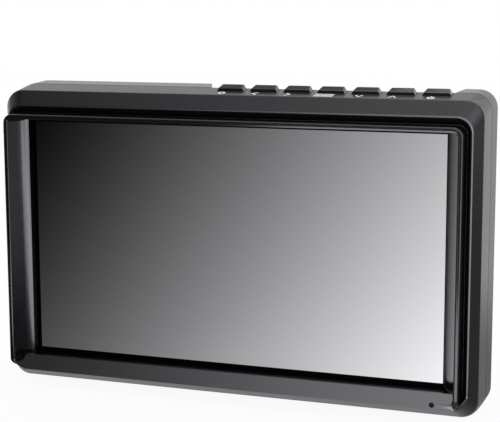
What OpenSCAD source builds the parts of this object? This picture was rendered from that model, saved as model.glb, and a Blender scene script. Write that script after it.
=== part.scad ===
// Field monitor for a camera: a screen set deep in a rimmed frame, seven keys along the top, sockets on
// the left side, a tripod socket below and a slide-in battery plate at the back.
// Millimetres. X points right, Y points from the front to the back, Z points up. Inside the modules the
// front of the rim is y = 0 and the underside is z = 0. The finished model is moved so that its origin is
// the mouth of the tripod socket.

/* [Screen] */
// Width of the lit area
screen_w = 121; // [119:0.5:123]
// Height of the lit area
screen_h = 68; // [67:0.25:69]
// Height of the lit area's lower edge above the underside
screen_low = 9.6; // [9.4:0.1:10.4]
// Glass border outside the lit area at the sides
border_side = 3.1; // [2.6:0.1:3.3]
// Glass border above the lit area
border_top = 2.2; // [1.8:0.1:2.4]
// Glass border below the lit area
border_low = 2.4; // [2:0.1:2.6]
// Depth of the glass face behind the front of the rim
glass_y = 9.13; // [8.8:0.1:9.6]
// Thickness of the glass
glass_t = 1; // [0.7:0.1:1.2]
// Thickness of the foam gasket in front of the glass
gasket_t = 0.5; // [0.3:0.1:0.8]
// Thickness of the liquid crystal panel
panel_t = 1.3; // [1:0.1:1.6]
// Thickness of the backlight
backlight_t = 2.37; // [2:0.1:2.6]
// Thickness of the steel tray behind the backlight
tray_t = 0.5; // [0.4:0.1:0.8]

/* [Rim] */
// Plastic that shows between the lit area and the cove at the sides
window_gap = 0.9; // [0.6:0.1:1.2]
// Gap between the lit area and the rim at the top
window_top = 0.86; // [0.6:0.05:1.1]
// Width of the hollow cove that leads down to the glass at the sides
cove_w = 3.9; // [3.2:0.1:4.4]
// Depth of the foot of the cove
cove_d = 6.31; // [5.5:0.1:7]
// Width of the rim's flat front at the sides
ridge_side = 0.65; // [0.5:0.05:0.9]
// Width of the rim's flat front at the top
ridge_top = 0.82; // [0.6:0.02:1]
// Width of the hood channel round the rim at the sides
channel_side = 1.93; // [1.7:0.05:2.4]
// Width of the hood channel round the rim at the top
channel_top = 2.73; // [2.4:0.05:3.2]
// Depth of the hood channel's floor behind its outer edge
channel_d = 1.2; // [0.8:0.1:1.6]
// Depth of the hood channel's outer edge behind the front of the rim
rim_d = 6; // [5.5:0.1:6.4]
// Height of the flat bar below the screen
bar_h = 4.53; // [4.3:0.05:4.8]
// Depth of the bar's lower edge
bar_y = 1.5; // [1.2:0.1:2]
// Depth of the bar's upper edge
bar_top_y = 0.5; // [0.3:0.1:0.8]
// Gap between the bar and the lit area
bar_gap = 0.1; // [0.05:0.05:0.3]
// Drop of the window's floor from the bar back to the glass
bar_floor_drop = 1.3; // [1:0.1:1.6]

/* [Body] */
// Width of the bevel outside the channel at the sides
bevel_side = 2.16; // [1.8:0.05:2.6]
// Width of the bevel outside the channel at the top
bevel_top = 3.76; // [3.4:0.05:4.1]
// Depth of the bevel
bevel_d = 3.45; // [3:0.1:4]
// Depth of the front frame's plain band, from the bevel to the seam
band_d = 8.88; // [8.6:0.1:9.6]
// Spread of the side faces over the band
draft_side = 0.37; // [0.2:0.02:0.5]
// Rise of the top face over the band
draft_top = 1.38; // [1.2:0.02:1.5]
// Height of the bevel's lower edge above the underside
bevel_low = 0.75; // [0.5:0.05:1]
// Depth of the foot where the underside becomes flat
foot_y = 12; // [11.5:0.1:12.5]
// Depth of the rear shell's band, from the seam to the back edge
shell_band_d = 8.16; // [8:0.1:9]
// Rise of the rear shell's top face over its band
shell_rise = 0.52; // [0.3:0.02:0.6]
// Depth of the rounded back edge
edge_d = 1.21; // [0.9:0.05:1.5]
// Radius of the body's corners seen from the front
corner_r = 5; // [4.6:0.1:5.6]
// Thickness of the shell's walls
wall = 1.8; // [1.6:0.1:2]
// Thickness of the back wall
back_wall = 2; // [1.8:0.1:2.2]
// Height of the cavity's roof below the seam's top edge
roof_t = 2.55; // [2.4:0.05:2.8]
// Width of the open seam between the two halves
seam_gap = 0.2; // [0.12:0.02:0.3]
// Depth of the shell's tongue inside the front frame
tongue_d = 1.3; // [1:0.1:1.5]
// Thickness of the tongue
tongue_t = 1.1; // [0.9:0.1:1.2]
// Play between the tongue and the front frame
tongue_play = 0.1; // [0.06:0.02:0.15]

/* [Keys] */
// Distance between keys
key_pitch = 9.72; // [9.6:0.02:9.9]
// Distance of the last key's middle from the cavity's side
key_side = 12.29; // [12.2:0.1:14]
// Width of a key at its foot
key_w = 8; // [7.6:0.1:8.2]
// Depth of a key
key_d = 3; // [2.8:0.1:3.2]
// Depth of the keys' front faces behind the front of the rim
key_y = 14.2; // [14.1:0.05:14.5]
// Height of a key's front edge above the band
key_rise = 0.95; // [0.8:0.05:1.1]
// Height of a key's back edge above its front edge
key_slope = 0.79; // [0.5:0.05:0.9]
// Length of a key's sloping face
key_slope_d = 2; // [1.6:0.1:2.4]
// Inset of a key's slanting sides
key_inset = 1; // [0.6:0.05:1.2]
// Play round a key in its slot
key_play = 0.12; // [0.08:0.02:0.18]
// Overhang of a key's flange at each side
flange_side = 0.6; // [0.4:0.05:0.7]
// Thickness of a key's flange
flange_t = 0.65; // [0.5:0.05:0.8]
// Travel of a key
key_travel = 0.35; // [0.25:0.05:0.4]
// Thickness of the key board
key_board_t = 1; // [0.8:0.1:1.2]
// Height of a key switch
switch_h = 2; // [1.8:0.1:2.2]
// Radius of a switch plunger
plunger_r = 0.9; // [0.7:0.05:1.1]
// Running play round a plunger
plunger_play = 0.08; // [0.04:0.01:0.1]
// Length of a plunger above its switch
plunger_up = 0.9; // [0.8:0.05:1]

/* [Scoop behind the keys] */
// Distance from the scoop's left end to the first key's middle
scoop_before = 7.4; // [7:0.1:8.4]
// Distance from the last key's middle to the end of the scoop's level floor
scoop_after = 1.8; // [1:0.1:2.4]
// Length of the ramp at the scoop's right end
scoop_ramp = 4.1; // [3:0.5:5]
// Depth of the scoop below the seam's top edge
scoop_d = 0.95; // [0.7:0.05:1.1]
// Leftward slant of the scoop's left wall over the shell's band
scoop_slant = 2.9; // [1:0.5:4]

/* [Boards] */
// Depth of the main board's front face
board_y = 17.9; // [17.7:0.1:18.1]
// Thickness of the main board
board_t = 1.2; // [1:0.1:1.4]
// Reach of the main board past the glass at each side
board_out = 3.2; // [2.4:0.1:3.3]
// Lower edge of the main board
board_low = 8.2; // [8.1:0.1:8.4]
// Distance from the main board up to the cavity's roof
board_down = 11.4; // [11.3:0.1:12]
// Distance of the board's screws from its side edges
board_screw_in = 14.8; // [14:0.2:17]
// Distance of the board's screws from its lower edge
board_screw_up = 6; // [5:0.5:8]
// Distance of the board's screws from its upper edge
board_screw_down = 7.2; // [5:0.2:8]
// Length of the board's screws in their posts
board_screw_l = 4; // [3:0.5:5]
// Side of the square video chip
chip_w = 14; // [12:1:17]
// Thickness of the video chip
chip_t = 1.3; // [1:0.1:1.6]
// Thickness of the soft pad on the chip
pad_t = 0.5; // [0.3:0.1:0.8]
// Side of the square heat sink
sink_w = 22; // [18:1:26]
// Height of the heat sink
sink_h = 3.8; // [3.4:0.1:4]

/* [Cooling slots] */
// Cooling slots on each side
vent_count = 7; // [5:1:8]
// Length of a cooling slot
vent_l = 20; // [16:0.5:24]
// Width of a cooling slot
vent_w = 1.4; // [1:0.1:1.8]
// Distance between cooling slots
vent_pitch = 3.6; // [3:0.1:4]
// Distance of the slots from the battery plate
vent_out = 5.5; // [4:0.5:8]

/* [Status light] */
// Distance of the pinhole from the cove's foot
light_in = 2.05; // [1.8:0.05:2.8]
// Height of the pinhole above the bar's lower edge
light_up = 1.13; // [1:0.01:1.2]
// Radius of the pinhole
light_r = 0.62; // [0.5:0.02:0.66]
// Play round the light pipe
light_play = 0.07; // [0.04:0.01:0.1]
// Length of the light pipe's end that sits inside the pinhole's mouth
light_sunk = 0.35; // [0.2:0.05:0.6]

/* [Sockets] */
// Depth of the sockets' mouths behind the side face
socket_sunk = 0.35; // [0.2:0.05:0.6]
// Play round a socket in the shell
socket_play = 0.15; // [0.1:0.05:0.25]
// Distance of the outer sockets from the board's ends
socket_end = 0.9; // [0.5:0.1:1.2]
// Width of the power inlet
power_w = 9; // [8.6:0.1:9.2]
// Thickness of the power inlet
power_t = 6.2; // [6:0.1:6.3]
// Radius of the power inlet's hole
power_r = 2.8; // [2.6:0.1:2.9]
// Radius of the power inlet's pin
power_pin_r = 1; // [0.8:0.1:1.1]
// Width of a video socket
video_w = 15; // [14.6:0.1:15.4]
// Thickness of a video socket
video_t = 5.6; // [5.4:0.1:5.8]
// Length of a video socket
video_l = 11.7; // [11:0.1:12.5]
// Wall of a video socket's metal shell
video_wall = 0.55; // [0.4:0.05:0.6]
// Width of the service socket
service_w = 7.5; // [7.2:0.1:7.8]
// Thickness of the service socket
service_t = 2.9; // [2.6:0.1:3.2]
// Length of the service socket
service_l = 7; // [6:0.5:8]
// Width of the headphone socket
audio_w = 5; // [4.8:0.1:5.2]
// Radius of the headphone socket's bore
audio_r = 1.8; // [1.76:0.01:1.85]
// Length of the headphone socket's bore
audio_l = 11; // [10:0.5:12]

/* [Tripod socket] */
// Radius of the tapped hole, at the tips of its thread
tripod_r = 2.55; // [2.45:0.05:2.65]
// Depth of the tapped hole
tripod_l = 6.5; // [5.5:0.25:6.5]
// Radius of the brass insert
insert_r = 4.15; // [3.9:0.05:4.2]
// Height of the insert
insert_h = 7.5; // [7.2:0.1:7.6]
// Thickness of the insert's bar
insert_bar_t = 1.5; // [1.2:0.1:1.8]
// Half length of the insert's bar
insert_bar = 7.2; // [6.6:0.1:8]
// Play round the insert
insert_play = 0.05; // [0.03:0.01:0.1]

/* [Fasteners] */
// Distance of the case screws outside the glass
case_out = 1.4; // [1.3:0.05:1.45]
// Height of the lower case screws above the cavity's floor
case_up = 3.1; // [3:0.1:3.2]
// Distance of the upper case screws below the cavity's roof
case_down = 8.2; // [8.1:0.1:8.3]
// Bite of a screw in its tapped hole
screw_bite = 2.5; // [2:0.1:2.8]
// Radius of the small screws' shanks
screw_r = 0.95; // [0.8:0.05:1]
// Play between a screw and its plain hole
screw_play = 0.1; // [0.05:0.01:0.15]
// Play between a screw's core and its tapped hole
thread_play = 0.03; // [0.02:0.01:0.05]
// Radius of the small screws' heads
head_r = 1.7; // [1.5:0.1:1.8]
// Thickness of the small screws' heads
head_t = 1; // [0.8:0.1:1.2]
// Wall of plastic round a screw in its post
post_wall = 1.25; // [1:0.05:1.3]

/* [Battery plate] */
// Width of the battery
battery_w = 38.4; // [38:0.1:39]
// Play beside the battery
battery_play = 0.3; // [0.2:0.05:0.4]
// Thickness of the plate
plate_t = 4.2; // [4:0.1:4.6]
// Width of a rail
rail_w = 2.6; // [2.2:0.1:3]
// Height of the rails above the plate
rail_h = 4.5; // [4.3:0.1:5]
// Lower end of the plate
plate_low = 8; // [7.5:0.1:9]
// Distance of the plate's upper end below the shell's top
plate_down = 7.7; // [6:0.1:9]
// Inward reach of a rail's hooks
hook_w = 1.2; // [0.9:0.1:1.4]
// Length of a hook
hook_l = 8; // [6:0.5:10]
// Height of the contact block
block_h = 6; // [5.5:0.1:6.5]
// Length of the contact blades above the block
blade_l = 5.5; // [4.5:0.5:6]
// Distance between contact blades
blade_pitch = 12; // [10:0.5:12]
// Sideways place of the plate's screws
plate_screw_x = 16; // [15:0.5:17]
// Distance of the plate's lower screws from its lower end
plate_screw_up = 17; // [16:0.5:20]
// Distance of the plate's upper screws from its upper end
plate_screw_down = 8; // [7:0.5:9]
// Height of the lower hooks above the rails' lower ends
hook_up = 14; // [12:0.5:18]
// Distance of the upper hooks below the plate's upper end
hook_down = 20; // [16:0.5:22]

/* [Battery latch] */
// Distance of the latch's middle below the plate's upper end
latch_down = 18; // [17:0.5:20]
// Width of the latch button
latch_w = 12; // [10:0.5:14]
// Height of the latch button
latch_h = 7; // [6:0.5:8]
// Reach of the latch button above the plate
latch_up = 1.7; // [1.65:0.05:2]
// Travel of the latch button
latch_travel = 1.6; // [1.2:0.05:1.6]
// Play round the latch button
latch_play = 0.15; // [0.1:0.05:0.25]
// Width of the latch's flange outside the button
latch_flange = 1.2; // [0.8:0.1:1.5]
// Thickness of the latch's flange
latch_flange_t = 0.8; // [0.6:0.1:0.9]
// Thickness of plate over the latch's pocket
latch_roof = 1; // [0.8:0.1:1.2]
// Depth of the cup for the latch's spring in the back wall
cup_d = 1; // [0.8:0.1:1.2]
// Radius of the latch spring's coils, to the wire's middle
spring_r = 2; // [1.6:0.1:2.2]
// Radius of the spring's wire
wire_r = 0.18; // [0.14:0.01:0.2]
// Turns of the spring
spring_turns = 4; // [3:1:5]

/* [Hidden] */
KEYS = ["function", "left", "right", "menu", "down", "up", "power"];
$fn = 48;
arc_n = 9;
cut = 1;
eps = 0.01;

// Heights and half widths of the front, from the screen outwards
screen_top = screen_low + screen_h;
lip_half = screen_w / 2 + window_gap;
ridge_in_half = lip_half + cove_w;
ridge_out_half = ridge_in_half + ridge_side;
channel_half = ridge_out_half + channel_side;
bevel_half = channel_half + bevel_side;
body_half = bevel_half + draft_side;
ridge_in_z = screen_top + window_top;
ridge_out_z = ridge_in_z + ridge_top;
channel_z = ridge_out_z + channel_top;
bevel_z = channel_z + bevel_top;
seam_z = bevel_z + draft_top;
shell_z = seam_z + shell_rise;
bar_high = screen_low - bar_gap;
bar_low = bar_high - bar_h;

// Depths of the body, from the front backwards
bevel_y = rim_d + bevel_d;
seam_y = bevel_y + band_d;
frame_back = seam_y - seam_gap;
shell_edge_y = seam_y + shell_band_d;
back_y = shell_edge_y + edge_d;
back_in = back_y - back_wall;

// The display stack
gasket_y = glass_y - gasket_t;
panel_y = glass_y + glass_t;
backlight_y = panel_y + panel_t;
tray_y = backlight_y + backlight_t;
tray_back = tray_y + tray_t;
glass_half = screen_w / 2 + border_side;
glass_top = screen_top + border_top;
glass_low = screen_low - border_low;
pocket_play = 0.25;
window_floor = bar_high - bar_floor_drop;
stack_inset = 0.4;
tray_ear_out = 2.4;
tray_ear_x = glass_half + tray_ear_out;
tray_drop = 1.1;
tray_low = screen_low - tray_drop;
tray_screw_up = 11.5;
tray_screw_down = 19.8;
tray_screw_l = 4;

// The cavity behind the display
cavity_half = body_half - wall;
cavity_z = seam_z - roof_t;
cavity_low = wall;
cavity_r = corner_r - wall + 0.2;
tongue_half = cavity_half - tongue_play;
tongue_in = tongue_half - tongue_t;
tongue_step = 1.3;

// Keys
key_back = key_y + key_d;
key_mid_y = key_y + key_d / 2;
flange_back = 0.6;
flange_front = 0.3;
stop_play = 0.05;
flange_z = cavity_z - stop_play;
flange_low = flange_z - flange_t;
switch_top = flange_low - plunger_up;
key_board_top = switch_top - switch_h;
key_board_low = key_board_top - key_board_t;
key_board_y = key_y - flange_front;
key_board_d = 5;
key_first = cavity_half - key_side - 6 * key_pitch;
key_board_before = 11;
key_board_after = 9.5;
key_post_before = 8.5;
key_post_after = 7.2;
key_board_left = key_x(0) - key_board_before;
key_board_right = key_x(6) + key_board_after;
key_post_left = key_x(0) - key_post_before;
key_post_right = key_x(6) + key_post_after;
scoop_left = key_x(0) - scoop_before;
scoop_right = key_x(6) + scoop_after;
key_post_r = 1.75;
key_post_y = key_mid_y + 0.3;
small_screw_r = 0.7;
small_head_r = 1.3;
small_head_t = 0.9;
switch_w = 5;
switch_d = 3.4;
plunger_foot = 0.75;

// Main board and what stands on it
board_back = board_y + board_t;
board_half = glass_half + board_out;
board_high = cavity_z - board_down;
board_mid = (board_low + board_high) / 2;
board_screw_x = board_half - board_screw_in;
board_screw_low = board_low + board_screw_up;
board_screw_high = board_high - board_screw_down;
case_x = glass_half + case_out;
case_low = cavity_low + case_up;
case_high = cavity_z - case_down;
light_x = lip_half - light_in;
light_z = bar_low + light_up;
sockets_w = power_w + 2 * video_w + service_w + audio_w;
socket_gap = (board_high - board_low - 2 * socket_end - sockets_w) / 4;
audio_z = board_high - socket_end - audio_w / 2;
service_z = audio_z - (audio_w + service_w) / 2 - socket_gap;
video_in_z = service_z - (service_w + video_w) / 2 - socket_gap;
video_out_z = video_in_z - video_w - socket_gap;
power_z = video_out_z - (video_w + power_w) / 2 - socket_gap;
socket_face = socket_sunk - body_half;
power_l = 11;
pin_l = 8;
audio_t = 5;

// Battery plate and latch
plate_half = battery_w / 2 + battery_play + rail_w;
plate_face = back_y + plate_t;
rail_top = plate_face + rail_h;
rail_in = battery_w / 2 + battery_play;
rail_low = plate_low + block_h;
plate_high = shell_z - plate_down;
plate_screw_low = plate_low + plate_screw_up;
plate_screw_high = plate_high - plate_screw_down;
latch_z = plate_high - latch_down;
block_half = rail_in - 0.5;
block_y = rail_top - 0.3;
blade_t = 0.8;
blade_d = 2.4;
wire_half = 4;
ribbon_t = 0.2;
tape_up = 15.5;
tape_x = 40;
tape_wide = 20;
wire_z = board_low + 1;
lead_r = 0.6;
lead_play = 0.3;
pocket_roof_y = plate_face - latch_roof;
latch_flange_back = pocket_roof_y - stop_play;
latch_flange_y = latch_flange_back - latch_flange_t;
cup_y = back_y - cup_d;
cup_r = spring_r + wire_r + 0.35;
insert_z = insert_h - insert_bar_t;
saddle_half = insert_bar - 0.2;
saddle_y = tray_back + 0.2;
saddle_back = 2 * seam_y - saddle_y;
bar_half_d = 3.2;
head_sink = 3.6;

function key_x(i) = key_first + i * key_pitch;
function mix(a, b, t) = a + (b - a) * t;
function ease(t) = t * t * (3 - 2 * t);
// Height of the front frame's top face at depth y
function top_at(y) = bevel_z + draft_top * (y - bevel_y) / band_d;
// Half width of the front frame at depth y
function half_at(y) = bevel_half + draft_side * (y - bevel_y) / band_d;
// Depth of the bar's face at height z
function bar_at(z) = mix(bar_y, bar_top_y, (z - bar_low) / bar_h);

// One outline of a loft: a rounded rectangle, whose lower edge may lie at its own depth
function outline(l) =
    let (w = l[0], hi = l[1], lo = l[2], rt = l[3], rb = l[4], y = l[5], yl = l[6])
    concat(
        [for (i = [0:arc_n]) let (a = -90 + 90 * i / arc_n)
            [w - rb + rb * cos(a), mix(yl, y, ease(i / arc_n)), lo + rb + rb * sin(a)]],
        [for (i = [0:arc_n]) let (a = 90 * i / arc_n) [w - rt + rt * cos(a), y, hi - rt + rt * sin(a)]],
        [for (i = [0:arc_n]) let (a = 90 + 90 * i / arc_n) [rt - w + rt * cos(a), y, hi - rt + rt * sin(a)]],
        [for (i = [0:arc_n]) let (a = 180 + 90 * i / arc_n)
            [rb - w + rb * cos(a), mix(y, yl, ease(i / arc_n)), lo + rb + rb * sin(a)]]);

// Skin over a list of outlines: a closed ring of outlines, or a solid with a flat face at each end
module loft(levels, ring = false) {
    n = len(levels);
    m = 4 * (arc_n + 1);
    last = ring ? n - 1 : n - 2;
    sides = [for (i = [0:last], j = [0:m - 1])
        let (a = i * m + j, b = i * m + (j + 1) % m, c = ((i + 1) % n) * m + (j + 1) % m,
             d = ((i + 1) % n) * m + j)
        each (ring ? [[a, c, b], [a, d, c]] : [[a, b, c], [a, c, d]])];
    ends = ring ? [] : [[for (j = [m - 1:-1:0]) j], [for (j = [0:m - 1]) (n - 1) * m + j]];
    polyhedron(points = [for (l = levels) each outline(l)], faces = concat(sides, ends), convexity = 8);
}

// Box between two corners
module block(low, high) {
    translate(low) cube(high - low);
}

// Rounded rectangle along Y
module slab(half, low, high, r, y0, y1) {
    translate([0, y1, 0]) rotate([90, 0, 0]) linear_extrude(y1 - y0) {
        translate([r - half, low]) square([2 * (half - r), high - low]);
        translate([-half, low + r]) square([2 * half, high - low - 2 * r]);
        for (x = [r - half, half - r], z = [low + r, high - r]) translate([x, z]) circle(r);
    }
}

// Cylinder along Y, and one along Z
module rod_y(x, z, r, y0, y1) {
    translate([x, y0, z]) rotate([-90, 0, 0]) cylinder(r = r, h = y1 - y0);
}
module rod_z(x, y, r, z0, z1) {
    translate([x, y, z0]) cylinder(r = r, h = z1 - z0);
}
module rod_x(y, z, r, x0, x1) {
    translate([x0, y, z]) rotate([0, 90, 0]) cylinder(r = r, h = x1 - x0);
}

// Screw along Y: its head lies at head_y on the side that dir points to
module screw_y(x, z, head_y, dir, length) {
    difference() {
        union() {
            if (dir > 0) rod_y(x, z, head_r, head_y, head_y + head_t);
            if (dir < 0) rod_y(x, z, head_r, head_y - head_t, head_y);
            if (dir > 0) rod_y(x, z, screw_r, head_y - length, head_y + eps);
            if (dir < 0) rod_y(x, z, screw_r, head_y - eps, head_y + length);
        }
        translate([x, head_y + dir * head_t, z]) rotate([90, 0, 0])
            cylinder(r = head_r * 0.55, h = head_t, center = true, $fn = 6);
    }
}

module at_case_screws() {
    for (x = [-case_x, case_x], z = [case_low, case_high]) translate([x, 0, z]) children();
}
module at_board_screws() {
    for (x = [-board_screw_x, board_screw_x], z = [board_screw_low, board_screw_high])
        translate([x, 0, z]) children();
}
module at_tray_screws() {
    for (x = [-tray_ear_x, tray_ear_x], z = [tray_low + tray_screw_up, glass_top - tray_screw_down])
        translate([x, 0, z]) children();
}
module at_plate_screws() {
    for (x = [-plate_screw_x, plate_screw_x], z = [plate_screw_low, plate_screw_high])
        translate([x, 0, z]) children();
}
module at_key_posts() {
    for (x = [key_post_left, key_post_right]) translate([x, key_post_y, 0]) children();
}

// Outlines of the front frame: up the outside, over the rim, down the cove and back along the inside
function frame_levels() = [
    [half_at(frame_back), top_at(frame_back), 0, corner_r, corner_r, frame_back, frame_back],
    [half_at(foot_y), top_at(foot_y), 0, corner_r, corner_r, foot_y, foot_y],
    [bevel_half, bevel_z, bevel_low, corner_r, corner_r, bevel_y, bevel_y],
    [channel_half, channel_z, bar_low, corner_r - 0.6, corner_r, rim_d, bar_y],
    channel_level(0.25, 0.08, channel_d * 0.04, 0.65),
    channel_level(0.5, 0.13, channel_d * 0.23, 1.3),
    channel_level(0.74, 0.2, channel_d * 0.62, 1.95),
    channel_level(0.88, 0.25, channel_d, 2.4),
    channel_level(0.88, 0.26, 0.45 - rim_d, 2.4),
    [ridge_out_half, ridge_out_z, bar_face(0.34), corner_r - 2.6, corner_r - 2.6, 0, bar_at(bar_face(0.34))],
    [ridge_in_half, ridge_in_z, bar_face(0.43), corner_r - 3.1, corner_r - 3, 0, bar_at(bar_face(0.43))],
    cove_level(0.41, 0.5, 0.62, 3.5),
    cove_level(0.75, 0.84, 0.82, 3.8),
    cove_level(1, 1, 1, 4.2),
    [lip_half - 0.1, ridge_in_z + 0.02, window_floor, 0.9, 0.7, gasket_y, gasket_y],
    [glass_half + pocket_play, glass_top + pocket_play, glass_low - pocket_play, 1, 1, gasket_y, gasket_y],
    [glass_half + pocket_play, glass_top + pocket_play, glass_low - pocket_play, 1, 1, tray_y, tray_y],
    [cavity_half, cavity_z, cavity_low, cavity_r, cavity_r, tray_y, tray_y],
    [cavity_half, cavity_z, cavity_low, cavity_r, cavity_r, frame_back, frame_back]];
// Height on the bar's face, as a share of the bar
function bar_face(t) = bar_low + bar_h * t;
// An outline in the hood channel: t runs inwards from its outer edge, s up the bar's face
function channel_level(t, s, deep, rr) = [mix(channel_half, ridge_out_half, t),
    mix(channel_z, ridge_out_z, t), bar_face(s), corner_r - 0.6 - rr * 0.8, corner_r - rr,
    rim_d + deep, bar_at(bar_face(s))];
// An outline on the cove: t runs down the cove, dy is its share of the depth, s runs up the bar's face
function cove_level(t, dy, s, rr) = [ridge_in_half - cove_w * t, ridge_in_z, bar_face(s),
    corner_r - rr, corner_r - rr, cove_d * dy, bar_at(bar_face(s))];

module front_frame() {
    color("#2f2f33") difference() {
        union() {
            loft(frame_levels(), ring = true);
            at_case_screws() rod_y(0, 0, case_boss_r, tray_y - cut, frame_back);
            at_key_posts() rod_z(0, 0, key_post_r, key_board_top, cavity_z + cut / 2);
            block([-saddle_half, saddle_y, cavity_low - eps], [saddle_half, frame_back, insert_z]);
        }
        at_case_screws() rod_y(0, 0, screw_r + thread_play, tray_y - 3, frame_back + cut);
        at_tray_screws() rod_y(0, 0, screw_r + thread_play, tray_y - tray_screw_l, tray_y + cut);
        at_key_posts() rod_z(0, 0, small_screw_r + thread_play, key_board_top - cut, cavity_z);
        rod_z(0, seam_y, insert_r + insert_play, -cut, insert_z + cut);
        rod_y(light_x, light_z, light_r, -cut, tray_y + cut);
        for (i = [0:6]) key_slot(i);
    }
}
case_boss_r = screw_r + 1.3;

module key_slot(i) {
    block([key_x(i) - key_w / 2 - key_play, key_y - key_play, cavity_z - cut],
          [key_x(i) + key_w / 2 + key_play, key_back + key_play, seam_z + 2 * cut]);
}

module display_glass() {
    color("#0c0c0f") slab(glass_half, glass_low, glass_top, 1, glass_y, panel_y);
}

module glass_gasket() {
    gasket_w = 1.1;
    color("#1a1a1a") difference() {
        slab(glass_half, glass_low, glass_top, 1, gasket_y, glass_y);
        block([gasket_w - glass_half + 0.8, gasket_y - cut, glass_low + gasket_w - 0.25],
              [glass_half - gasket_w - 0.8, glass_y + cut, glass_top - gasket_w + 0.15]);
    }
}

module lcd_panel() {
    color("#3b4a55") block([stack_inset - glass_half, panel_y, glass_low + stack_inset],
                           [glass_half - stack_inset, backlight_y, glass_top - stack_inset]);
}

module backlight_unit() {
    color("#dfe3e6") block([stack_inset - glass_half, backlight_y, glass_low + stack_inset],
                           [glass_half - stack_inset, tray_y, glass_top - stack_inset]);
}

module panel_tray() {
    ear = 5;
    color("#9a9da1") difference() {
        union() {
            block([-glass_half, tray_y, tray_low], [glass_half, tray_back, glass_top]);
            at_tray_screws() block([-ear / 2, tray_y, -ear / 2], [ear / 2, tray_back, ear / 2]);
        }
        at_tray_screws() rod_y(0, 0, screw_r + screw_play, tray_y - cut, tray_back + cut);
    }
}

module tray_screws() {
    color("#c9ccd0") at_tray_screws() screw_y(0, 0, tray_back, 1, tray_t + tray_screw_l - 0.3);
}

module light_pipe() {
    flange_r = light_r + 0.35;
    color("#e8eef2") {
        rod_y(light_x, light_z, light_r - light_play, bar_at(light_z) + light_sunk, tray_y + eps);
        rod_y(light_x, light_z, flange_r, tray_y, tray_y + 0.3);
    }
}

module status_led() {
    color("#f2f2f0") rod_y(light_x, light_z, 1.2, tray_y + 0.5, board_y);
}

// Cap of a key: a foot that fills the slot and a top with slanting sides and a sloping face
module key_cap(i) {
    foot_z = top_at(key_y);
    front_z = foot_z + key_rise;
    high = front_z + key_slope;
    foot_low = flange_z - flange_t / 2;
    color("#1b1b1e") translate([key_x(i), 0, 0]) {
        intersection() {
            translate([-key_w / 2, 0, 0]) rotate([90, 0, 90]) linear_extrude(key_w)
                polygon([[key_y, foot_low], [key_back, foot_low], [key_back, high],
                         [key_y + key_slope_d, high], [key_y, front_z]]);
            translate([0, key_back + cut, 0]) rotate([90, 0, 0]) linear_extrude(key_d + 2 * cut)
                polygon([[-key_w / 2, foot_low - cut], [key_w / 2, foot_low - cut], [key_w / 2, foot_z],
                         [key_w / 2 - key_inset, high + eps], [key_inset - key_w / 2, high + eps],
                         [-key_w / 2, foot_z]]);
        }
        block([-key_w / 2 - flange_side, key_y - flange_front, flange_low],
              [key_w / 2 + flange_side, key_back + flange_back, flange_z]);
    }
}

module switch_plunger(i) {
    color("#d8c9a0") rod_z(key_x(i), key_mid_y, plunger_r, key_board_top + plunger_foot, flange_low);
}

module key_switches() {
    color("#8d9096") for (i = [0:6]) difference() {
        block([key_x(i) - switch_w / 2, key_mid_y - switch_d / 2, key_board_top],
              [key_x(i) + switch_w / 2, key_mid_y + switch_d / 2, switch_top]);
        rod_z(key_x(i), key_mid_y, plunger_r + plunger_play, key_board_top + 0.3, switch_top + cut);
    }
}

module key_board() {
    color("#1f5a38") difference() {
        block([key_board_left, key_board_y, key_board_low],
              [key_board_right, key_board_y + key_board_d, key_board_top]);
        at_key_posts() rod_z(0, 0, small_screw_r + screw_play, key_board_low - cut, key_board_top + cut);
    }
}

module key_board_screws() {
    color("#c9ccd0") at_key_posts() {
        rod_z(0, 0, small_head_r, key_board_low - small_head_t, key_board_low);
        rod_z(0, 0, small_screw_r, key_board_low - eps, cavity_z - 0.3);
    }
}

// Flat ribbon from the key board down to the back of the main board
module key_ribbon() {
    tape_w = 8;
    hold = 7;
    reach = 2.6;
    color("#d9d2c4") translate([key_x(2), 0, 0]) rotate([90, 0, 90]) linear_extrude(tape_w)
        polygon([[board_back, board_high - hold], [board_back + ribbon_t, board_high - hold],
                 [board_back + ribbon_t, key_board_low], [key_board_y + reach, key_board_low],
                 [key_board_y + reach, key_board_low - ribbon_t], [board_back, key_board_low - ribbon_t]]);
}

module rear_shell() {
    color("#34343a") difference() {
        union() {
            shell_hull();
            tongue();
            at_case_screws() rod_y(0, 0, case_post_r, seam_y, back_in + eps);
            at_board_screws() rod_y(0, 0, screw_r + post_wall, board_back, back_in + eps);
            at_plate_screws() rod_y(0, 0, screw_r + post_wall, back_in - 3.5, back_in + eps);
            block([-saddle_half, seam_y, cavity_low - eps], [saddle_half, saddle_back, insert_z]);
        }
        scoop();
        at_case_screws() {
            rod_y(0, 0, screw_r + screw_play, seam_y - cut, back_y);
            rod_y(0, 0, head_r + 0.2, case_head_y, back_y + cut);
        }
        at_board_screws() rod_y(0, 0, screw_r + thread_play, board_back - cut, back_in - 0.5);
        at_plate_screws() rod_y(0, 0, screw_r + thread_play, back_in - 3, back_y + cut);
        rod_z(0, seam_y, insert_r + insert_play, -cut, insert_z + cut);
        socket_cuts();
        vents();
        for (x = [-wire_half, wire_half]) rod_y(x, wire_z, lead_r + lead_play, back_in - cut, back_y + cut);
        rod_y(0, latch_z, cup_r, cup_y, back_y + cut);
    }
}
case_post_r = head_r + 1.2;
case_head_y = seam_y + 3;

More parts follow.
